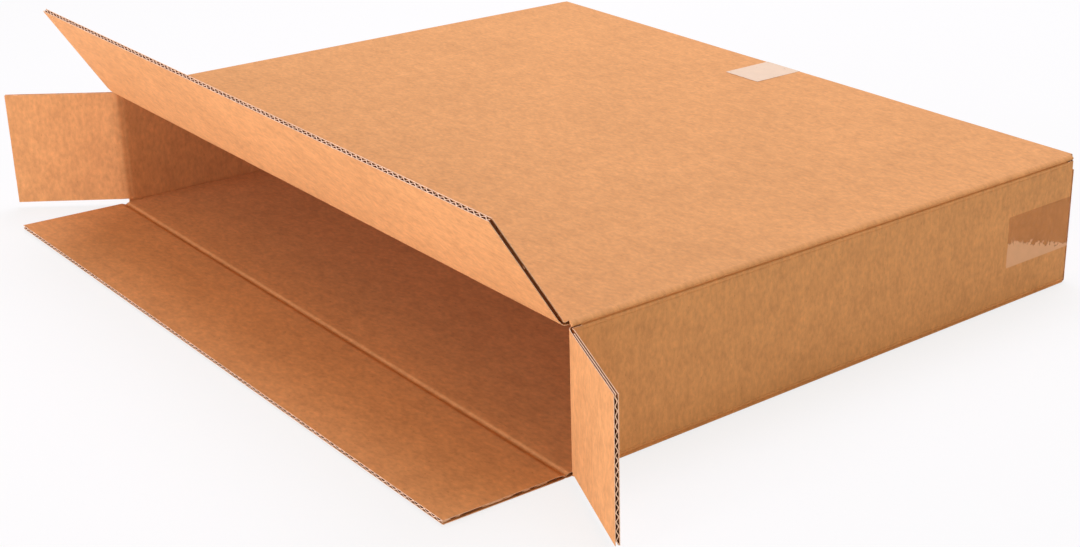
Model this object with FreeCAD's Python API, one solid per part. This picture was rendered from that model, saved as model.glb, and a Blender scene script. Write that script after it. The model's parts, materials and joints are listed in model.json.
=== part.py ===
import FreeCAD, Part
import math
import os
from FreeCAD import Vector

# A side-loading corrugated carton, open at one long side, with four flaps standing open.
# Millimetres. X runs along the opening, Y from the opening to the closed back, Z up.
# The origin is the middle of the underside of the bottom panel.

# Box sizes, measured over the outside of the board
width = 820.0
panel_depth = 621.0
height = 135.0

# Corrugated board: two liners and a fluted web
board = 4.0
liner = 0.35
flute_web = 0.35
flute_pitch = 7.8
flute_open_depth = 20.0
flute_edge_margin = 1.5

# Folds and score lines
fold_outer = 4.0
fold_inner = 1.0
fold_run = 7.0
score_gap = 0.15
layer_gap = 0.3

# Flaps
flap_length = 118.0
major_inset = 5.5
minor_top_clearance = 0.8
minor_bottom_clearance = 3.0

# Glued lap that closes the tube, inside the right wall
lap_width = 35.0
lap_end_clearance = 4.0

# Clear packing tape over the back folds
tape_width = 52.0
tape_thickness = 0.2
tape_lift = 0.05
top_tape_on_panel = 66.0
side_tape_on_panel = 92.0
tape_on_back = 62.0

# How far each front flap stands open at rest, in degrees from lying straight out
top_flap_angle = 57.9
bottom_flap_angle = 1.0
left_flap_angle = 35.1
right_flap_angle = 68.2

# Planes that follow from the sizes above
layer = board + layer_gap
half_width = width / 2
major_half = half_width - major_inset
front = -panel_depth / 2
side_front = front + layer
top_back = front + panel_depth
side_back = top_back - layer
outer_back = top_back + layer
minor_low = board + minor_bottom_clearance
minor_high = height - board - minor_top_clearance
past = 1.0

X_AXIS = Vector(1, 0, 0)
Y_AXIS = Vector(0, 1, 0)
Z_AXIS = Vector(0, 0, 1)


def block(x_range, y_range, z_range):
    corner = Vector(x_range[0], y_range[0], z_range[0])
    size = Vector(x_range[1], y_range[1], z_range[1]) - corner
    return Part.makeBox(size.x, size.y, size.z, corner)


def prism(points, along):
    outline = Part.makePolygon(points + [points[0]])
    return Part.Face(outline).extrude(along)


def rounded_bar(x_range, z_range, y_range, radius):
    bar = block(x_range, y_range, z_range)
    long_edges = [e for e in bar.Edges if abs(e.tangentAt(e.FirstParameter).y) > 0.9]
    return bar.makeFillet(radius, long_edges)


def arc(centre, radius, first, second, angle_from, angle_to):
    """Arc edge in the plane of the unit vectors first and second, angles in degrees."""
    points = []
    for share in (0.0, 0.5, 1.0):
        angle = math.radians(angle_from + (angle_to - angle_from) * share)
        points.append(centre + first * (radius * math.cos(angle)) + second * (radius * math.sin(angle)))
    return Part.Arc(points[0], points[1], points[2]).toShape()


def line(start, end):
    return Part.LineSegment(start, end).toShape()


def closed_back_flap(corner, onward, outward, length, along):
    """A panel's last stretch, its rounded fold and the flap folded in from it.

    corner is the sharp outer corner of the fold, onward runs along the panel to the fold,
    outward is the panel's outer side, and along sweeps the profile over the flap's width.
    """
    def at(p, q):
        return corner + onward * p + outward * q

    inner = board + fold_inner
    outer_centre = at(-fold_outer, -fold_outer)
    inner_centre = at(-inner, -inner)
    edges = [
        line(at(-fold_run, 0), at(-fold_outer, 0)),
        arc(outer_centre, fold_outer, onward, outward, 90, 0),
        line(at(0, -fold_outer), at(0, -length)),
        line(at(0, -length), at(-board, -length)),
        line(at(-board, -length), at(-board, -inner)),
        arc(inner_centre, fold_inner, onward, outward, 0, 90),
        line(at(-inner, -board), at(-fold_run, -board)),
        line(at(-fold_run, -board), at(-fold_run, 0)),
    ]
    return Part.Face(Part.Wire(edges)).extrude(along)


def tube():
    """Four walls in one fold-round tube, cut back where flaps fold on at the back."""
    outside = rounded_bar((-half_width, half_width), (0, height), (front, outer_back - fold_run), fold_outer)
    inner_half = half_width - board
    inside = rounded_bar(
        (-inner_half, inner_half), (board, height - board), (front - past, outer_back + past), fold_inner)
    walls = outside.cut(inside)
    far_end = outer_back + past
    cuts = [block((-major_half, major_half), (top_back - fold_run, far_end), (height / 2, height + past))]
    for side in (-1, 1):
        x_range = sorted((side * major_half, side * (half_width + past)))
        cuts.append(block(x_range, (side_back - fold_run, far_end), (minor_low, minor_high)))
        cuts.append(block(x_range, (side_back, far_end), (-past, height + past)))
        cuts.append(block(x_range, (front - past, side_front), (-past, height + past)))
        cuts.append(side_score_bevel(side))
    cuts.append(top_score_bevel())
    return walls.cut(cuts)


def top_score_bevel():
    """Wedge taken off the top panel's front edge, so that the flap can fold shut against it."""
    reach = board + past
    points = [
        Vector(-half_width, front - past, height + past),
        Vector(-half_width, front + score_gap - past, height + past),
        Vector(-half_width, front + score_gap + reach, height - reach),
        Vector(-half_width, front - past, height - reach),
    ]
    return prism(points, X_AXIS * width)


def side_score_bevel(side):
    reach = board + past
    points = [
        Vector(side * (half_width + past), side_front - past, board),
        Vector(side * (half_width + past), side_front + score_gap - past, board),
        Vector(side * (half_width - reach), side_front + score_gap + reach, board),
        Vector(side * (half_width - reach), side_front - past, board),
    ]
    return prism(points, Z_AXIS * (height - 2 * board))


def glued_lap():
    x_range = (half_width - 2 * board, half_width - board)
    y_range = (side_front + board + lap_end_clearance, side_back - board - lap_end_clearance)
    return block(x_range, y_range, (board, board + lap_width))


def carton():
    major_width = 2 * major_half
    minor_width = minor_high - minor_low
    pieces = [
        closed_back_flap(
            Vector(-major_half, top_back, height), Y_AXIS, Z_AXIS, flap_length, X_AXIS * major_width),
        closed_back_flap(
            Vector(-major_half, outer_back, 0), Y_AXIS, -Z_AXIS, flap_length, X_AXIS * major_width),
        closed_back_flap(
            Vector(-half_width, side_back, minor_low), Y_AXIS, -X_AXIS, flap_length, Z_AXIS * minor_width),
        closed_back_flap(
            Vector(half_width, side_back, minor_low), Y_AXIS, X_AXIS, flap_length, Z_AXIS * minor_width),
        glued_lap(),
    ]
    return tube().fuse(pieces).removeSplitter()


def flute_section(start, flap_width):
    """End face of the board: liners top and bottom, triangular flute openings between them."""
    half = flap_width / 2
    corners = [(-half, 0), (half, 0), (half, board), (-half, board), (-half, 0)]
    outline = Part.makePolygon([Vector(start, w, v) for w, v in corners])
    rise = board - 2 * liner
    slope = rise / (flute_pitch / 2)
    half_base = flute_pitch / 2 - flute_web / 2 / math.sin(math.atan(slope))
    peak = half_base * slope
    count = int((flap_width - 2 * flute_edge_margin) / flute_pitch * 2 - 1)
    first = -(count - 1) * flute_pitch / 4
    openings = []
    for i in range(count):
        centre = first + i * flute_pitch / 2
        base = liner if i % 2 == 0 else board - liner
        tip = base + peak if i % 2 == 0 else base - peak
        points = [(centre - half_base, base), (centre + half_base, base), (centre, tip)]
        openings.append(Part.makePolygon([Vector(start, w, v) for w, v in points + points[:1]]))
    return Part.makeFace([outline] + openings, "Part::FaceMakerCheese")


def flap(length, flap_width, round_root):
    """A flap lying along local X from its hinge line, with its outer face at local Z = 0."""
    fluted_from = length - flute_open_depth
    half = flap_width / 2
    if round_root:
        centre = Vector(0, -half, board / 2)
        edges = [
            arc(centre, board / 2, X_AXIS, Z_AXIS, 90, 270),
            line(Vector(0, -half, 0), Vector(fluted_from, -half, 0)),
            line(Vector(fluted_from, -half, 0), Vector(fluted_from, -half, board)),
            line(Vector(fluted_from, -half, board), Vector(0, -half, board)),
        ]
        body = Part.Face(Part.Wire(edges)).extrude(Y_AXIS * flap_width)
    else:
        points = [
            Vector(score_gap, -half, 0),
            Vector(fluted_from, -half, 0),
            Vector(fluted_from, -half, board),
            Vector(score_gap + board, -half, board),
        ]
        body = prism(points, Y_AXIS * flap_width)
    open_end = flute_section(fluted_from, flap_width).extrude(X_AXIS * flute_open_depth)
    return body.fuse(open_end).removeSplitter()


def placed(shape, origin, out, inward):
    """Moves a flap so that local X runs along out and local Z along inward."""
    across = inward.cross(out)
    matrix = FreeCAD.Matrix(
        out.x, across.x, inward.x, origin.x,
        out.y, across.y, inward.y, origin.y,
        out.z, across.z, inward.z, origin.z,
        0, 0, 0, 1)
    moved = shape.copy()
    moved.Placement = FreeCAD.Placement(matrix)
    return moved


def top_flap():
    angle = math.radians(top_flap_angle)
    out = Vector(0, -math.cos(angle), math.sin(angle))
    inward = Vector(0, -math.sin(angle), -math.cos(angle))
    return placed(flap(flap_length, 2 * major_half, False), Vector(0, front, height), out, inward)


def bottom_flap():
    """Outermost flap when shut: its hinge line lies one board thickness in front of the others."""
    angle = math.radians(bottom_flap_angle)
    out = Vector(0, -math.cos(angle), math.sin(angle))
    inward = Vector(0, math.sin(angle), math.cos(angle))
    hinge = Vector(0, front - layer_gap - board / 2, board / 2)
    length = flap_length - layer_gap - board / 2
    return placed(flap(length, 2 * major_half, True), hinge - inward * (board / 2), out, inward)


def side_flap(side, opened):
    angle = math.radians(opened)
    out = Vector(side * math.sin(angle), -math.cos(angle), 0)
    inward = Vector(-side * math.cos(angle), -math.sin(angle), 0)
    hinge = Vector(side * half_width, side_front, (minor_low + minor_high) / 2)
    return placed(flap(flap_length, minor_high - minor_low, False), hinge, out, inward)


def top_tape():
    """Strip over the middle of the back top edge, down onto the outer back flap."""
    reach = Vector(-tape_width / 2, 0, 0)
    centre = Vector(-tape_width / 2, top_back - fold_outer, height - fold_outer)
    near = fold_outer + tape_lift
    far = near + tape_thickness
    edges = []
    ends = []
    for offset in (near, far):
        lift = offset - fold_outer
        points = [
            Vector(0, top_back - top_tape_on_panel, height + lift),
            Vector(0, top_back - fold_outer, height + lift),
            Vector(0, top_back + lift, height - fold_outer),
            Vector(0, outer_back + lift, flap_length),
            Vector(0, outer_back + lift, height - tape_on_back),
        ]
        points = [p + reach for p in points]
        edges += [line(points[0], points[1]), arc(centre, offset, Y_AXIS, Z_AXIS, 90, 0)]
        edges += [line(points[2], points[3]), line(points[3], points[4])]
        ends.append((points[0], points[4]))
    edges += [line(ends[0][0], ends[1][0]), line(ends[0][1], ends[1][1])]
    profile = Part.Wire(Part.__sortEdges__(edges))
    return Part.Face(profile).extrude(X_AXIS * tape_width)


def side_tape(side):
    """Strip round an upright back edge at mid-height, onto the outer back flap."""
    outward = X_AXIS * side
    low = (height - tape_width) / 2
    centre = Vector(side * (half_width - fold_outer), side_back - fold_outer, low)
    edges = []
    ends = []
    for offset in (fold_outer + tape_lift, fold_outer + tape_lift + tape_thickness):
        lift = offset - fold_outer
        corner = Vector(side * major_half, outer_back + lift, low)
        reach = corner - centre
        leaving = math.asin(offset / reach.Length) + math.atan2(-reach.x * side, reach.y)
        leaving_point = centre + outward * (offset * math.cos(leaving)) + Y_AXIS * (offset * math.sin(leaving))
        start = Vector(side * (half_width + lift), side_back - side_tape_on_panel, low)
        wall_end = Vector(side * (half_width + lift), side_back - fold_outer, low)
        end = Vector(side * (half_width - tape_on_back), outer_back + lift, low)
        edges += [line(start, wall_end), arc(centre, offset, outward, Y_AXIS, 0, math.degrees(leaving))]
        edges += [line(leaving_point, corner), line(corner, end)]
        ends.append((start, end))
    edges += [line(ends[0][0], ends[1][0]), line(ends[0][1], ends[1][1])]
    profile = Part.Wire(Part.__sortEdges__(edges))
    return Part.Face(profile).extrude(Z_AXIS * tape_width)


nodes = {
    "carton": carton(),
    "top_flap": top_flap(),
    "bottom_flap": bottom_flap(),
    "left_flap": side_flap(-1, left_flap_angle),
    "right_flap": side_flap(1, right_flap_angle),
    "top_tape": top_tape(),
    "left_tape": side_tape(-1),
    "right_tape": side_tape(1),
}

os.makedirs("parts", exist_ok=True)
for name, shape in nodes.items():
    box = shape.BoundBox
    print(name, "solids", len(shape.Solids), "valid", shape.isValid(), "volume", round(shape.Volume, 1),
          "box", [round(v, 2) for v in (box.XMin, box.YMin, box.ZMin, box.XMax, box.YMax, box.ZMax)])
    shape.exportStep(os.path.join("parts", name + ".step"))
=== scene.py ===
import bpy
import bmesh
import json
import math
from mathutils import Matrix, Vector, noise


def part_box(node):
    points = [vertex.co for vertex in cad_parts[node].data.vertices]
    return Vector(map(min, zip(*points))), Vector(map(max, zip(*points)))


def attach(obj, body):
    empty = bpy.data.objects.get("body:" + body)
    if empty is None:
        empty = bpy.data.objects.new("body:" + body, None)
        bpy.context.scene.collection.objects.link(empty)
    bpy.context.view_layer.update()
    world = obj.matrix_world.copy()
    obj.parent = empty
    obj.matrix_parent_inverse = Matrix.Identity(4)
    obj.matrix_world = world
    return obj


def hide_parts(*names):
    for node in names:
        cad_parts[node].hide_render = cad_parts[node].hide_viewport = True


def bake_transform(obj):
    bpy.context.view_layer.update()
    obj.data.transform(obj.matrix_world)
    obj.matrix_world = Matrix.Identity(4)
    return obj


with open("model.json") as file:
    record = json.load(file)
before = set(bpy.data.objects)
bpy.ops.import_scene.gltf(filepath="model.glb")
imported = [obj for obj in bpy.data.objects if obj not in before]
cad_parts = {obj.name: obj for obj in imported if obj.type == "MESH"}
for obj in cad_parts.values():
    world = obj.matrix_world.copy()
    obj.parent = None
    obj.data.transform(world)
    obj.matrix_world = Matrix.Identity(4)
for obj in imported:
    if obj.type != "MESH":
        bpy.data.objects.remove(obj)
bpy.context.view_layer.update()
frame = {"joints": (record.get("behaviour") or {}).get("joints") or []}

MM = 0.001
UP = Vector((0, 0, 1))
RIGHT = Vector((1, 0, 0))
BACK = Vector((0, 1, 0))
scene = bpy.context.scene

# The box's sizes, in metres
board = 4.0 * MM
layer = board + 0.3 * MM
flap_length = 118.0 * MM
major_inset = 5.5 * MM
minor_low = board + 3.0 * MM
minor_top_gap = board + 0.8 * MM
lap_width = 35.0 * MM
lap_end_gap = 8.0 * MM

# What the board is made of, how ragged its cut edges are, and how near to an edge counts as on it
liner = 0.6 * MM
web = 0.9 * MM
flute_pitch = 7.8 * MM
edge_rag = 0.25 * MM
edge_zone = 0.1 * MM

# Creases: how far a crease's own strip runs, half the length that bends, and the back folds' centre
crease_reach = 9.0 * MM
front_bend = 3.4 * MM
back_bend = 0.7 * MM
back_pivot = 1.0 * MM
crease_steps = [s * MM for s in (0.12, 0.35, 0.6, 0.9, 1.3, 1.8, 2.3, 2.9, 3.6, 4.4, 5.4, 6.6)]

# How far a crease presses the inner liner in and over what distance, then the same for the outer liner
stretched_press = (0.9 * MM, 3.4 * MM, 0.2 * MM, 1.0 * MM)
straight_press = (1.6 * MM, 2.5 * MM, 0.4 * MM, 1.2 * MM)
back_press = (0.5 * MM, 1.5 * MM, 0.5 * MM, 0.25 * MM)

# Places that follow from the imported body
carton_low, carton_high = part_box("carton")
half_width = carton_high.x
height = carton_high.z
front = carton_low.y
side_front = front + layer
outer_back = carton_high.y
top_back = outer_back - layer
side_back = top_back - layer
major_half = half_width - major_inset
minor_high = height - minor_top_gap
minor_middle = (minor_low + minor_high) / 2
minor_width = minor_high - minor_low
major_notch = front + crease_reach
minor_notch = side_front + crease_reach
back_notch = side_back - crease_reach
joints = {joint["name"]: joint for joint in frame["joints"]}


def ease(value):
    value = min(max(value, 0.0), 1.0)
    return value * value * (3 - 2 * value)


def bell(value, centre, spread):
    return math.exp(-((value - centre) / spread) ** 2)


def local_frame(origin, out, inward):
    """Matrix that takes local X to out, local Z to inward and the local origin to origin."""
    across = inward.cross(out)
    matrix = Matrix((out, across, inward)).transposed().to_4x4()
    matrix.translation = origin
    return matrix


# Materials

def new_material(name, gloss):
    material = bpy.data.materials.new(name)
    material.use_nodes = True
    nodes = material.node_tree.nodes
    shader = nodes["Principled BSDF"]
    shader.inputs["Specular IOR Level"].default_value = gloss
    return material, nodes, material.node_tree.links, shader


def srgb(red, green, blue):
    """Linear, solid colour from the usual 0 to 255 screen values."""
    channels = []
    for value in (red, green, blue):
        value /= 255
        channels.append(value / 12.92 if value <= 0.04045 else ((value + 0.055) / 1.055) ** 2.4)
    return tuple(channels) + (1,)


def grey(value):
    return (value, value, value)


def attribute_output(nodes, name, output):
    node = nodes.new("ShaderNodeAttribute")
    node.attribute_name = name
    return node.outputs[output]


def add_noise(nodes, links, place, scale, detail, roughness):
    node = nodes.new("ShaderNodeTexNoise")
    node.inputs["Scale"].default_value = scale
    node.inputs["Detail"].default_value = detail
    node.inputs["Roughness"].default_value = roughness
    links.new(place, node.inputs["Vector"])
    return node.outputs["Fac"]


def add_ramp(nodes, links, value, low, high):
    """Colour that runs from one stop to another, each given as its position and colour."""
    ramp = nodes.new("ShaderNodeValToRGB")
    for element, (position, colour) in zip(ramp.color_ramp.elements, (low, high)):
        element.position = position
        element.color = colour + (1,)
    links.new(value, ramp.inputs["Fac"])
    return ramp.outputs["Color"]


def add_math(nodes, links, operation, first, second):
    node = nodes.new("ShaderNodeMath")
    node.operation = operation
    for socket, value in zip(node.inputs, (first, second)):
        if isinstance(value, (int, float)):
            socket.default_value = value
        else:
            links.new(value, socket)
    return node.outputs["Value"]


def add_mix(nodes, links, blend_type, factor, first, second):
    """Mix of two colours. The node keeps its colour sockets at inputs 6 and 7 and output 2."""
    node = nodes.new("ShaderNodeMix")
    node.data_type = "RGBA"
    node.blend_type = blend_type
    for socket, value in ((node.inputs[0], factor), (node.inputs[6], first), (node.inputs[7], second)):
        if isinstance(value, bpy.types.NodeSocket):
            links.new(value, socket)
        else:
            socket.default_value = value
    return node.outputs[2]


def add_bump(nodes, links, shader, relief, strength, depth):
    bump = nodes.new("ShaderNodeBump")
    bump.inputs["Strength"].default_value = strength
    bump.inputs["Distance"].default_value = depth
    links.new(relief, bump.inputs["Height"])
    links.new(bump.outputs["Normal"], shader.inputs["Normal"])


def sheet_place(nodes, links, stretch):
    """Place on the flat, unfolded sheet, so that the paper's grain runs on over every fold."""
    mapping = nodes.new("ShaderNodeMapping")
    mapping.inputs["Scale"].default_value = stretch
    links.new(attribute_output(nodes, "sheet", "Vector"), mapping.inputs["Vector"])
    return mapping.outputs["Vector"]


def kraft_paper(name, colour, depth_of_mottle=1.0):
    """Brown paper: clouds, blotches, mottle, fibres and dark specks, each multiplied into the colour."""
    material, nodes, links, shader = new_material(name, gloss=0.25)
    even = sheet_place(nodes, links, (1.0, 1.0, 1.0))
    along_grain = sheet_place(nodes, links, (0.6, 1.0, 1.0))
    along_fibres = sheet_place(nodes, links, (0.3, 1.0, 1.0))
    clouds = add_noise(nodes, links, even, scale=9.0, detail=3.0, roughness=0.5)
    blotches = add_noise(nodes, links, along_grain, scale=75.0, detail=3.0, roughness=0.6)
    mottle = add_noise(nodes, links, along_grain, scale=260.0, detail=4.0, roughness=0.6)
    fibres = add_noise(nodes, links, along_fibres, scale=900.0, detail=3.0, roughness=0.6)
    specks = add_noise(nodes, links, along_grain, scale=420.0, detail=2.0, roughness=0.5)
    dark = 1.0 - 0.14 * depth_of_mottle
    shades = (
        (clouds, (0.3, grey(0.955)), (0.7, grey(1.03))),
        (blotches, (0.32, (0.93, 0.915, 0.9)), (0.68, grey(1.05))),
        (mottle, (0.3, (dark, dark * 0.985, dark * 0.965)), (0.7, grey(1.08))),
        (fibres, (0.3, grey(0.965)), (0.7, grey(1.025))),
        (specks, (0.22, (0.80, 0.74, 0.68)), (0.33, grey(1.0))),
    )
    paint = srgb(*colour)
    for pattern, low, high in shades:
        shade = add_ramp(nodes, links, pattern, low, high)
        paint = add_mix(nodes, links, "MULTIPLY", 1.0, paint, shade)
    links.new(paint, shader.inputs["Base Color"])
    roughness = add_ramp(nodes, links, mottle, (0.3, grey(0.74)), (0.7, grey(0.88)))
    links.new(roughness, shader.inputs["Roughness"])
    relief = add_math(nodes, links, "ADD", mottle, add_math(nodes, links, "MULTIPLY", fibres, 0.5))
    add_bump(nodes, links, shader, relief, strength=0.35, depth=0.12 * MM)
    return material


def tape_film():
    """Clear tape: glued stretches let the board show, unglued ones look hazy and pale."""
    glued_tone, thin_haze, milky_haze = srgb(196, 118, 52), srgb(255, 192, 134), srgb(255, 226, 188)
    glued_cover, hazy_cover = grey(0.12) + (1,), grey(0.84) + (1,)
    material, nodes, links, shader = new_material("clear tape", gloss=0.25)
    place = nodes.new("ShaderNodeTexCoord").outputs["Object"]
    ragged = add_noise(nodes, links, place, scale=200.0, detail=4.0, roughness=0.65)
    streaks = add_noise(nodes, links, place, scale=60.0, detail=3.0, roughness=0.6)
    push = add_math(nodes, links, "MULTIPLY", add_math(nodes, links, "SUBTRACT", ragged, 0.5), 2.2)
    unglued = add_math(nodes, links, "ADD", attribute_output(nodes, "haze", "Fac"), push)
    haze = add_ramp(nodes, links, unglued, (0.47, grey(0.0)), (0.53, grey(1.0)))
    pale = add_mix(nodes, links, "MIX", attribute_output(nodes, "milk", "Fac"), thin_haze, milky_haze)
    film = add_mix(nodes, links, "MIX", haze, glued_tone, pale)
    streak_shade = add_ramp(nodes, links, streaks, (0.3, grey(0.96)), (0.7, grey(1.03)))
    links.new(add_mix(nodes, links, "MULTIPLY", 1.0, film, streak_shade), shader.inputs["Base Color"])
    links.new(add_mix(nodes, links, "MIX", haze, glued_cover, hazy_cover), shader.inputs["Alpha"])
    shader.inputs["Roughness"].default_value = 0.3
    add_bump(nodes, links, shader, streaks, strength=0.3, depth=0.1 * MM)
    return material


kraft = kraft_paper("kraft liner", (233, 169, 105))
cut_edge = kraft_paper("cut liner edge", (246, 208, 170), depth_of_mottle=1.4)
# The fluted web's colour is partly its own, since the middle paper is a darker brown than the liners, and
# partly painted shade: it is darkened further so that the hollows of the flutes at the cut edges look dark.
flute_web_paper_and_painted_shade = kraft_paper("fluted web darkened as painted shade", (140, 82, 44), depth_of_mottle=1.6)
tape_material = tape_film()


# Mesh helpers. In a flat piece of board, X runs out from the crease, Y along it and Z through the board.

sharp_angle = math.radians(35)
sheet_depth = 6


def new_board():
    """Empty mesh whose vertices can hold their place on the flat sheet."""
    bm = bmesh.new()
    bm.verts.layers.float_vector.new("sheet")
    return bm


def finish_piece(name, bm, materials):
    mesh = bpy.data.meshes.new(name)
    bm.to_mesh(mesh)
    bm.free()
    for material in materials:
        mesh.materials.append(material)
    for polygon in mesh.polygons:
        polygon.use_smooth = True
    mesh.set_sharp_from_angle(angle=sharp_angle)
    piece = bpy.data.objects.new(name, mesh)
    scene.collection.objects.link(piece)
    return piece


def take_in(bm, part):
    """Adds a finished part to a larger mesh and returns its vertices there."""
    mesh = bpy.data.meshes.new("part")
    part.to_mesh(mesh)
    part.free()
    before = len(bm.verts)
    bm.from_mesh(mesh)
    bpy.data.meshes.remove(mesh)
    bm.verts.ensure_lookup_table()
    return bm.verts[before:]


def add_slab(bm, u_range, w_half, v_range, u_cuts, w_cuts):
    """Closed box between the given bounds, cut into strips both out from the crease and along it."""
    slab = bmesh.new()
    bmesh.ops.create_cube(slab, size=1.0)
    size = Vector((u_range[1] - u_range[0], 2 * w_half, v_range[1] - v_range[0]))
    middle = Vector(((u_range[0] + u_range[1]) / 2, 0, (v_range[0] + v_range[1]) / 2))
    bmesh.ops.scale(slab, vec=size, verts=slab.verts)
    bmesh.ops.translate(slab, vec=middle, verts=slab.verts)
    across = [e for e in slab.edges if abs(e.verts[0].co.y - e.verts[1].co.y) > w_half]
    bmesh.ops.subdivide_edges(slab, edges=across, cuts=w_cuts, use_grid_fill=True)
    for cut in u_cuts:
        geometry = slab.verts[:] + slab.edges[:] + slab.faces[:]
        bmesh.ops.bisect_plane(slab, geom=geometry, plane_co=(cut, 0, 0), plane_no=(1, 0, 0), dist=1e-7)
    return take_in(bm, slab)


def mark_sheet(bm, verts, along, run):
    """Writes each vertex's place on the flat sheet: along it, out past the score and through the board."""
    sheet = bm.verts.layers.float_vector["sheet"]
    for vert in verts:
        vert[sheet] = Vector((along + vert.co.y, run - vert.co.x, sheet_depth * vert.co.z))


# Flaps

def fluted_flap(name, u_range, width, angle, hinge, sheet_at, seed, tear_depth):
    """Corrugated flap: two liners with a wavy web between them, open at the cut edges."""
    bm = new_board()
    half = width / 2
    start, end = u_range
    w_cuts = max(int(width / (4 * MM)), 8)
    u_cuts = [start + (end - start) * share for share in (0.25, 0.5, 0.75)] + [end - 1.5 * MM]
    for v_range in ((0, liner), (board - liner, board)):
        verts = add_slab(bm, u_range, half, v_range, u_cuts, w_cuts)
        mark_sheet(bm, verts, *sheet_at)
        for vert in verts:
            rag = abs(noise.noise(Vector((vert.co.x * 400 + seed, vert.co.y * 400, v_range[0] * 900))))
            if vert.co.x > end - edge_zone:
                vert.co.x -= edge_rag * (0.5 + 0.9 * rag)
            if abs(vert.co.y) > half - edge_zone:
                vert.co.y -= math.copysign(edge_rag * rag, vert.co.y)
    for face in bm.faces:
        on_rim = abs(face.normal.z) < 0.5 and face.calc_center_median().x > start + edge_zone
        face.material_index = 1 if on_rim else 0
    add_web(bm, u_range, half, sheet_at, seed, tear_depth)
    place_flap(bm, angle, hinge)
    return finish_piece(name, bm, (kraft, cut_edge, flute_web_paper_and_painted_shade))


def add_web(bm, u_range, half, sheet_at, seed, tear_depth):
    """The wavy middle layer: cut a little short, ragged along the edges and partly crushed near its end."""
    steps_per_flute = 8
    rows = 26
    crushed_length = 12 * MM
    evened_length = 20 * MM
    start, end = u_range
    wave = bmesh.new()
    columns = int(2 * half / flute_pitch * steps_per_flute)
    bmesh.ops.create_grid(wave, x_segments=rows, y_segments=columns, size=0.5)
    bmesh.ops.scale(wave, vec=(end - start, 2 * half, 1), verts=wave.verts)
    bmesh.ops.translate(wave, vec=((start + end) / 2, 0, 0), verts=wave.verts)
    swing = (board - 2 * liner - web) / 2
    for vert in wave.verts:
        u, w = vert.co.x, vert.co.y
        drift = 1.1 * noise.noise(Vector((w * 12, seed, 0))) * ease((half - w) / evened_length)
        phase = 2 * math.pi * (half - w) / flute_pitch + drift
        crush = 0.5 * abs(noise.noise(Vector((w * 90, u * 20, seed))))
        crush *= ease((u - end + crushed_length) / crushed_length)
        vert.co.z = board / 2 + swing * (1 - crush) * math.sin(phase)
        if u > end - edge_zone:
            vert.co.x -= (0.15 + 0.9 * abs(noise.noise(Vector((w * 150, seed, 4))))) * MM
        if abs(w) > half - edge_zone:
            tear = tear_depth * (1.0 + 1.3 * noise.noise(Vector((u * 330, seed, 9))))
            vert.co.y -= math.copysign(max(tear, 0.1 * MM), w)
    bmesh.ops.solidify(wave, geom=wave.faces[:], thickness=web)
    bmesh.ops.translate(wave, vec=(0, 0, web / 2), verts=wave.verts)
    wave.normal_update()
    for face in wave.faces:
        # Faces inside the flutes take the web paper, whose dark colour is partly painted shade in the
        # hollows; the cut faces take the light cut edge colour.
        at_cut = face.normal.x > 0.7 or abs(face.normal.y) > 0.9
        face.material_index = 1 if at_cut else 2
    verts = take_in(bm, wave)
    along, run = sheet_at
    mark_sheet(bm, verts, along + 0.5, run)


def place_flap(bm, angle, hinge):
    """Turns a straight flap out by angle about its hinge and moves it to its wall.

    A hinge is its place on the board's outer face, the way out of the wall, the way through the
    board to its inner face, and how deep in the board the turn is centred.
    """
    origin, out, inward, pivot = hinge
    out_turned = out * math.cos(angle) - inward * math.sin(angle)
    inward_turned = out * math.sin(angle) + inward * math.cos(angle)
    centre = origin + inward * pivot
    matrix = local_frame(centre - inward_turned * pivot, out_turned, inward_turned)
    bmesh.ops.transform(bm, matrix=matrix, verts=bm.verts)


def crease_strip(name, reaches, width, angle, hinge, sheet_at, seed, press, bend_half):
    """The two liners round a score line: pressed together along the line and bent about the hinge."""
    bm = new_board()
    steps = [-s for s in reversed(crease_steps)] + crease_steps
    steps = [s for s in steps if -reaches[0] < s < reaches[1]]
    w_cuts = max(int(width / (12 * MM)), 6)
    inner_press, inner_spread, outer_press, outer_spread = press
    for v_range in ((0, liner), (board - liner, board)):
        verts = add_slab(bm, (-reaches[0], reaches[1]), width / 2, v_range, steps, w_cuts)
        mark_sheet(bm, verts, *sheet_at)
    origin, out, inward, pivot = hinge
    for vert in bm.verts:
        u, w, v = vert.co
        uneven = 1 + 0.2 * noise.noise(Vector((w * 25, seed, 0)))
        wander = 0.35 * MM * noise.noise(Vector((w * 6, seed, 3)))
        near = u - wander * bell(u, 0, 4 * MM)
        if v > board / 2:
            v -= inner_press * uneven * bell(near, 0, inner_spread)
        else:
            v += outer_press * uneven * bell(near, 0, outer_spread)
        turn = angle * ease((u + bend_half) / (2 * bend_half))
        lever = v - pivot
        vert.co.x = u * math.cos(turn) + lever * math.sin(turn)
        vert.co.z = -u * math.sin(turn) + lever * math.cos(turn) + pivot
    bm.normal_update()
    for face in bm.faces:
        face.material_index = 1 if abs(face.normal.y) > 0.7 else 0
    bmesh.ops.transform(bm, matrix=local_frame(origin, out, inward), verts=bm.verts)
    return finish_piece(name, bm, (kraft, cut_edge))


# The folded body

fold_round = 5.6 * MM
fold_press = 2.1 * MM
fold_press_spread = 0.95 * MM
fold_shift = 3.1 * MM
score_line_offset = 2.2 * MM
score_line_spread = 0.4 * MM
inner_round = 0.5 * MM
inner_groove = 1.1 * MM
fold_arc_steps = 24
fold_flat_steps = [s * MM for s in (0.5, 1.1, 1.6, 1.9, 2.2, 2.5, 2.8, 3.4, 4.5, 5.6, 7.0, 9.0)]
lengthwise_cuts = 20
crosswise_cuts = 16
panel_dip = 1.6 * MM
dip_fade = 120 * MM


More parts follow.
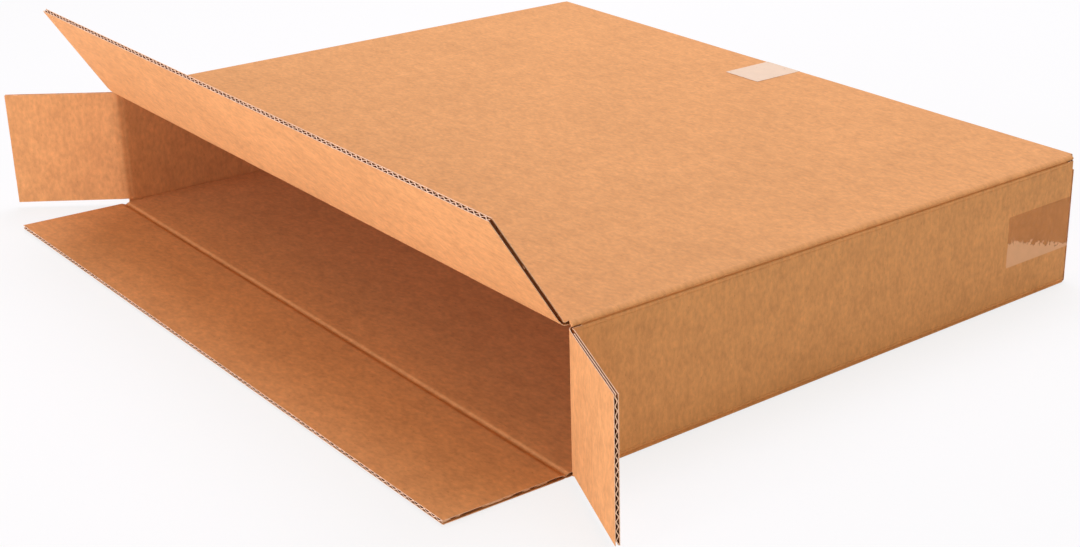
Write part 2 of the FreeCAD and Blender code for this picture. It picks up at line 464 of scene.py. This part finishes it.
def corner_points(centre, radius, start_angle, press, shift):
    """One rounded fold of the tube's section, pressed in along its middle, walked anticlockwise."""
    arc_half = radius * math.pi / 4
    stations = [-(arc_half + s) for s in reversed(fold_flat_steps)]
    stations += [arc_half * (2 * i / fold_arc_steps - 1) for i in range(fold_arc_steps + 1)]
    stations += [arc_half + s for s in fold_flat_steps]
    score_line = math.copysign(arc_half + score_line_offset, shift)
    points = []
    for station in stations:
        on_arc = min(max(station, -arc_half), arc_half)
        angle = start_angle + (on_arc + arc_half) / radius
        radial = Vector((math.cos(angle), 0, math.sin(angle)))
        ahead = Vector((-math.sin(angle), 0, math.cos(angle)))
        fold_dent = bell(station, shift, fold_press_spread)
        dent = press * (fold_dent + 0.2 * bell(station, score_line, score_line_spread))
        points.append(centre + radial * (radius - dent) + ahead * (station - on_arc))
    return points


def tube_section(inset, radius, press, shift):
    """Closed outline of the tube's walls, inset from their outer face, from the lower right fold round."""
    half = half_width - inset - radius
    low, high = inset + radius, height - inset - radius
    corners = ((half, low, -90, 1), (half, high, 0, -1), (-half, high, 90, 1), (-half, low, 180, -1))
    points = []
    for x, z, angle, side in corners:
        points += corner_points(Vector((x, 0, z)), radius, math.radians(angle), press, side * shift)
    return points


def sheet_along(point, inset):
    """Distance round the tube, from the middle of the top panel."""
    if point.z > height - inset - edge_zone:
        return point.x
    if point.z < inset + edge_zone:
        return half_width + height + half_width - point.x
    if abs(point.x) > half_width - inset - 6 * MM:
        return math.copysign(half_width + height - point.z, point.x)
    return point.x


def sweep_section(bm, section, stations):
    """Draws one section of the tube at the first station and extrudes it back through the others."""
    sheet = bm.verts.layers.float_vector["sheet"]
    ring = [bm.verts.new(point + BACK * stations[0]) for point in tube_section(*section)]
    for vert in ring:
        vert[sheet] = Vector((sheet_along(vert.co, section[0]), 0, 0))
    edges = [bm.edges.new(pair) for pair in zip(ring, ring[1:] + ring[:1])]
    for here, there in zip(stations, stations[1:]):
        grown = bmesh.ops.extrude_edge_only(bm, edges=edges)["geom"]
        moved = [g for g in grown if isinstance(g, bmesh.types.BMVert)]
        bmesh.ops.translate(bm, vec=(0, there - here, 0), verts=moved)
        edges = [g for g in grown if isinstance(g, bmesh.types.BMEdge)]
        edges = [e for e in edges if abs(e.verts[0].co.y - e.verts[1].co.y) < 1e-6]


def cut_walls(bm):
    """Cuts the tube along the sides of its notches, and its panels into strips that can dip."""
    planes = [(RIGHT, -major_half), (RIGHT, major_half), (UP, minor_low), (UP, minor_high)]
    planes += [(RIGHT, major_half * (2 * i / crosswise_cuts - 1) * 0.96) for i in range(1, crosswise_cuts)]
    planes += [(UP, minor_low + minor_width * share) for share in (0.2, 0.4, 0.6, 0.8)]
    for normal, offset in planes:
        geometry = bm.verts[:] + bm.edges[:] + bm.faces[:]
        bmesh.ops.bisect_plane(bm, geom=geometry, plane_co=normal * offset, plane_no=normal, dist=1e-7)


def in_notch(point):
    """Whether a place on the tube belongs to the crease strip of a flap and not to the wall."""
    on_side_wall = abs(point.x) > half_width - 2 * board and minor_low < point.z < minor_high
    if on_side_wall:
        return not minor_notch < point.y < back_notch
    return abs(point.x) < major_half and not major_notch < point.y < back_notch


def is_inner(point):
    margin = board / 2
    return abs(point.x) < half_width - margin and margin < point.z < height - margin


def soften_panel(vert):
    """Large panels aren't quite flat: each dips inward by a fraction of a millimetre."""
    x, y, z = vert.co
    across = ease((half_width - abs(x)) / dip_fade)
    deep = ease((y - front) / dip_fade) * ease((side_back - y) / dip_fade)
    wave = 0.5 + 0.5 * noise.noise(Vector((x * 3.5, y * 3.5, z * 9)))
    dip = panel_dip * wave * across * deep
    if z > height - 2 * board:
        vert.co.z -= dip
    elif z < 2 * board:
        vert.co.z += 0.3 * dip


def carton_body():
    """Four walls as one tube, notched at both ends where the flaps' creases begin."""
    bm = new_board()
    sheet = bm.verts.layers.float_vector["sheet"]
    long_way = back_notch - minor_notch
    stations = [side_front, major_notch, minor_notch]
    stations += [minor_notch + long_way * (i + 1) / lengthwise_cuts for i in range(lengthwise_cuts)]
    stations.append(side_back)
    sweep_section(bm, (0.0, fold_round, fold_press, fold_shift), stations)
    sweep_section(bm, (board, inner_round, -inner_groove, 0.0), stations)
    cut_walls(bm)
    notches = [face for face in bm.faces if in_notch(face.calc_center_median())]
    bmesh.ops.delete(bm, geom=notches, context="FACES")
    for far_end in (False, True):
        rim = [e for e in bm.edges if e.is_boundary and (e.verts[0].co.y > 0) == far_end]
        bmesh.ops.bridge_loops(bm, edges=rim)
    bmesh.ops.recalc_face_normals(bm, faces=bm.faces)
    for vert in bm.verts:
        vert[sheet].y = vert.co.y
        vert[sheet].z = sheet_depth * board if is_inner(vert.co) else 0.0
        soften_panel(vert)
    return finish_piece("carton_walls", bm, (kraft,))


walls = carton_body()
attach(walls, "carton_body")
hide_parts("carton")


# Front flaps: hinge, width, place on the flat sheet, crease, and how deep the web is torn at its sides

front_flaps = {
    "top": {
        "origin": Vector((0, front, height)), "inward": -UP, "pivot": 0.0,
        "width": 2 * major_half, "along": 0.0, "press": stretched_press, "tear_depth": 2.2 * MM,
    },
    "bottom": {
        "origin": Vector((0, front - layer + board / 2, 0)), "inward": UP, "pivot": board / 2,
        "width": 2 * major_half, "along": 1.1, "press": straight_press, "tear_depth": 1.2 * MM,
    },
    "left": {
        "origin": Vector((-half_width, side_front, minor_middle)), "inward": RIGHT, "pivot": 0.0,
        "width": minor_width, "along": -0.55, "press": stretched_press, "tear_depth": 0.8 * MM,
    },
    "right": {
        "origin": Vector((half_width, side_front, minor_middle)), "inward": -RIGHT, "pivot": 0.0,
        "width": minor_width, "along": 0.55, "press": stretched_press, "tear_depth": 0.3 * MM,
    },
}


def rest_angle(side):
    """Angle, in radians, by which a front flap leans out past straight. The bottom one leans in a little."""
    shut, folded_back = joints[side + "_flap_fold"]["range_deg"]
    if side == "bottom":
        return -math.radians(folded_back)
    return math.radians(-shut - 90)


def make_front_flap(side, seed):
    """One front flap and its crease. The bottom flap's hinge lies in front of the tube by set_back."""
    flap = front_flaps[side]
    origin, out, inward, pivot = flap["origin"], -BACK, flap["inward"], flap["pivot"]
    angle = rest_angle(side)
    hinge = (origin, out, inward, pivot)
    set_back = front - origin.y if side == "bottom" else 0.0
    sheet_at = (flap["along"], front)
    body = side + "_flap_body"
    plate = fluted_flap(side + "_flap_board", (crease_reach, flap_length - set_back), flap["width"],
                        angle, hinge, sheet_at, seed, flap["tear_depth"])
    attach(plate, body)
    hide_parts(side + "_flap")
    strip = crease_strip(side + "_flap_crease", (crease_reach + set_back, crease_reach), flap["width"],
                         angle, hinge, sheet_at, seed, flap["press"], front_bend)
    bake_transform(strip)


for number, side in enumerate(front_flaps):
    make_front_flap(side, seed=3.7 + 11.3 * number)


# Back flaps, folded in and taped: name, place of the fold, way in, width, place on the flat sheet, plane

back_flaps = (
    ("back_top_flap", 0, height, -UP, 2 * major_half, 0.0, top_back),
    ("back_bottom_flap", 0, 0, UP, 2 * major_half, 1.1, outer_back),
    ("back_left_flap", -half_width, minor_middle, RIGHT, minor_width, -0.55, side_back),
    ("back_right_flap", half_width, minor_middle, -RIGHT, minor_width, 0.55, side_back),
)


def make_back_flap(name, x, z, inward, width, along, plane, seed):
    """A fold out to plane, turned a right angle, and the shut flap that goes on from it."""
    hinge = (Vector((x, plane - back_pivot, z)), BACK, inward, back_pivot)
    angle = math.radians(-90)
    sheet_at = (along, outer_back)
    reaches = (plane - back_pivot - back_notch, crease_reach)
    strip = crease_strip(name + "_fold", reaches, width, angle, hinge, sheet_at, seed, back_press, back_bend)
    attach(strip, "carton_body")
    plate = fluted_flap(name + "_board", (crease_reach, flap_length - back_pivot), width, angle, hinge,
                        sheet_at, seed, tear_depth=1.0 * MM)
    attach(plate, "carton_body")


for number, back_flap in enumerate(back_flaps):
    make_back_flap(*back_flap, seed=60.0 + 9.1 * number)


# Glued lap inside the right wall

def glued_lap():
    bm = new_board()
    y_low, y_high = side_front + lap_end_gap, side_back - lap_end_gap
    rim = 0.6 * MM
    verts = add_slab(bm, (0, lap_width), (y_high - y_low) / 2, (0, board), [rim, lap_width - rim], 40)
    mark_sheet(bm, verts, 0.3, 0.7)
    origin = Vector((half_width - board, (y_low + y_high) / 2, board))
    bmesh.ops.transform(bm, matrix=local_frame(origin, UP, -RIGHT), verts=bm.verts)
    piece = finish_piece("glued_lap", bm, (kraft,))
    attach(piece, "carton_body")


glued_lap()


# Clear tape over the back folds

tape_width = 52.0 * MM
tape_gap = 0.12 * MM
tape_sheet = 0.08 * MM
tape_turn = 1.0 * MM
tape_turn_steps = 8
tape_rows = 90
tape_columns = 16
top_tape_run = 66.0 * MM
side_tape_run = 93.0 * MM
tape_on_back = 62.0 * MM


def tape_route(run_on_panel, fold_plane, depth, outer_plane, run_on_back):
    """Path of a strip in its own plane: p points out of the closed back, q out of the panel it starts on.

    The strip runs over the panel, turns round the fold, slopes out over the layered flaps to reach
    the outer plane at the given depth, and goes on flat. A station is (p, q, normal p, normal q).
    """
    stations = [(fold_plane - run_on_panel, 0.0, 0.0, 1.0), (fold_plane - run_on_panel / 2, 0.0, 0.0, 1.0)]
    centre = (fold_plane - tape_turn, -tape_turn)
    slope = math.atan2(outer_plane - fold_plane, depth - tape_turn)
    for i in range(tape_turn_steps + 1):
        angle = (math.pi / 2 - slope) * i / tape_turn_steps
        normal = (math.sin(angle), math.cos(angle))
        stations.append((centre[0] + tape_turn * normal[0], centre[1] + tape_turn * normal[1]) + normal)
    stations.append((outer_plane, -depth, 1.0, 0.1))
    for share in (0.1, 0.4, 0.7, 1.0):
        stations.append((outer_plane, -depth - (run_on_back - depth) * share, 1.0, 0.0))
    return stations


def side_haze(run, rise):
    """Unglued wedge along the lower edge: half the strip's height at its free end, none at the fold."""
    return 0.5 + 4.0 * (0.54 - 0.85 * run - rise)


def top_haze(run, rise):
    """Unglued over the panel and the fold, and stuck down towards the end on the back."""
    return 0.95 if run < 0.55 else 0.95 - 3.0 * (run - 0.55)


def tape_strip(name, stations, origin, outward, across, haze_at, milk, seed):
    """A strip along the stations, with how unglued and how milky it is written on its vertices."""
    bm = bmesh.new()
    haze = bm.verts.layers.float.new("haze")
    whiteness = bm.verts.layers.float.new("milk")
    lengths = [0.0]
    for here, there in zip(stations, stations[1:]):
        lengths.append(lengths[-1] + math.hypot(there[0] - here[0], there[1] - here[1]))
    whole = lengths[-1]
    bmesh.ops.create_grid(bm, x_segments=tape_rows, y_segments=tape_columns, size=0.5)
    for vert in bm.verts:
        share, side = vert.co.x + 0.5, vert.co.y
        run = share * whole
        if share in (0.0, 1.0):
            run += 1.2 * MM * noise.noise(Vector((side * 9, seed, 0))) * (1 - 2 * share)
        run = min(max(run, 0.0), whole)
        index = max(i for i, length in enumerate(lengths[:-1]) if length <= run + 1e-9)
        part = (run - lengths[index]) / (lengths[index + 1] - lengths[index])
        p, q, normal_p, normal_q = [a + (b - a) * part for a, b in zip(stations[index], stations[index + 1])]
        lift = tape_gap + 0.05 * MM * (1 + noise.noise(Vector((run * 90, side * 9, seed))))
        place = origin + BACK * (p + normal_p * lift) + outward * (q + normal_q * lift)
        vert.co = place + across * (side * tape_width)
        vert[haze] = haze_at(run / whole, side + 0.5)
        vert[whiteness] = milk
    bmesh.ops.recalc_face_normals(bm, faces=bm.faces)
    bmesh.ops.solidify(bm, geom=bm.faces[:], thickness=tape_sheet)
    piece = finish_piece(name + "_film", bm, (tape_material,))
    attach(piece, "carton_body")
    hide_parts(name)


top_edge_route = tape_route(top_tape_run, top_back, height - flap_length, outer_back, tape_on_back)
side_edge_route = tape_route(side_tape_run, side_back, major_inset, outer_back, tape_on_back)
tape_strip("top_tape", top_edge_route, UP * height, UP, RIGHT, top_haze, milk=1.0, seed=5.0)
for name, outward, seed in (("right_tape", RIGHT, 8.0), ("left_tape", -RIGHT, 14.0)):
    middle = outward * half_width + UP * height / 2
    tape_strip(name, side_edge_route, middle, outward, UP, side_haze, milk=0.12, seed=seed)


# Floor, light and camera

floor_white = 0.8


def seen_directly(nodes, links):
    """1 for a ray from the camera, off a gloss or through a clear film, and 0 for light that spreads."""
    path = nodes.new("ShaderNodeLightPath")
    shown = add_math(nodes, links, "MAXIMUM", path.outputs["Is Camera Ray"], path.outputs["Is Glossy Ray"])
    return add_math(nodes, links, "MAXIMUM", shown, path.outputs["Is Transmission Ray"])


def mix_shaders(nodes, links, factor, first, second, output):
    mix = nodes.new("ShaderNodeMixShader")
    links.new(factor, mix.inputs["Fac"])
    links.new(first, mix.inputs[1])
    links.new(second, mix.inputs[2])
    links.new(mix.outputs["Shader"], nodes[output].inputs["Surface"])


def plain_floor():
    """Pale floor, made nearly white where it is seen, that keeps the object's shadow."""
    bpy.ops.mesh.primitive_plane_add(size=40, location=(0, 0, 0))
    floor = bpy.context.object
    floor.name = "floor"
    material, nodes, links, shader = new_material("pale floor", gloss=0.0)
    shader.inputs["Base Color"].default_value = (0.93, 0.91, 0.85, 1)
    shader.inputs["Roughness"].default_value = 0.9
    white = nodes.new("ShaderNodeEmission")
    share = add_math(nodes, links, "MULTIPLY", seen_directly(nodes, links), floor_white)
    mix_shaders(nodes, links, share, shader.outputs["BSDF"], white.outputs["Emission"], "Material Output")
    floor.data.materials.append(material)


def daylight():
    """Faint warm light from all round, seen as white."""
    world = bpy.data.worlds.new("soft surroundings")
    scene.world = world
    world.use_nodes = True
    nodes, links = world.node_tree.nodes, world.node_tree.links
    around = nodes["Background"]
    around.inputs["Color"].default_value = (1.0, 0.93, 0.8, 1)
    around.inputs["Strength"].default_value = 0.24
    white = nodes.new("ShaderNodeBackground")
    white.inputs["Strength"].default_value = 1.0
    mix_shaders(nodes, links, seen_directly(nodes, links), around.outputs["Background"],
                white.outputs["Background"], "World Output")


def soft_light(name, place, aim, size, power, tint):
    data = bpy.data.lights.new(name, "AREA")
    data.shape = "SQUARE"
    data.size = size
    data.energy = power
    data.color = tint
    light = bpy.data.objects.new(name, data)
    light.location = place
    light.rotation_euler = (Vector(aim) - Vector(place)).to_track_quat("-Z", "Y").to_euler()
    scene.collection.objects.link(light)


plain_floor()
daylight()
cool = (1.0, 0.975, 1.24)
warm = (1.0, 0.91, 0.76)
soft_light("overhead", (-0.6, 0.9, 3.2), (0, 0, 0), size=2.6, power=92, tint=cool)
soft_light("front_left", (-0.7, -4.0, 1.1), (0, 0, 0.1), size=2.4, power=44, tint=cool)
soft_light("front_low", (0.45, -4.0, 0.55), (0, 0, 0.1), size=1.0, power=62, tint=cool)
soft_light("right_fill", (4.0, -0.3, 1.5), (0, 0, 0.1), size=2.4, power=22, tint=warm)

# The camera's place in metres, its turn in degrees, and the photo's frame in pixels
camera_place = Vector((1.3887, -1.0454, 0.6838))
camera_heading = 49.85
camera_drop = 21.78
focal_pixels = 1761.0
photo_width, photo_height = 1080, 547
axis_pixel = (660.0, 250.0)
sensor_width = 36.0

camera_data = bpy.data.cameras.new("camera")
camera_data.sensor_width = sensor_width
camera_data.lens = focal_pixels * sensor_width / photo_width
camera_data.shift_x = (photo_width / 2 - axis_pixel[0]) / photo_width
camera_data.shift_y = (axis_pixel[1] - photo_height / 2) / photo_width
camera = bpy.data.objects.new("camera", camera_data)
camera.location = camera_place
camera.rotation_euler = (math.radians(90 - camera_drop), 0, math.radians(camera_heading))
scene.collection.objects.link(camera)
scene.camera = camera
scene.view_settings.view_transform = "Standard"
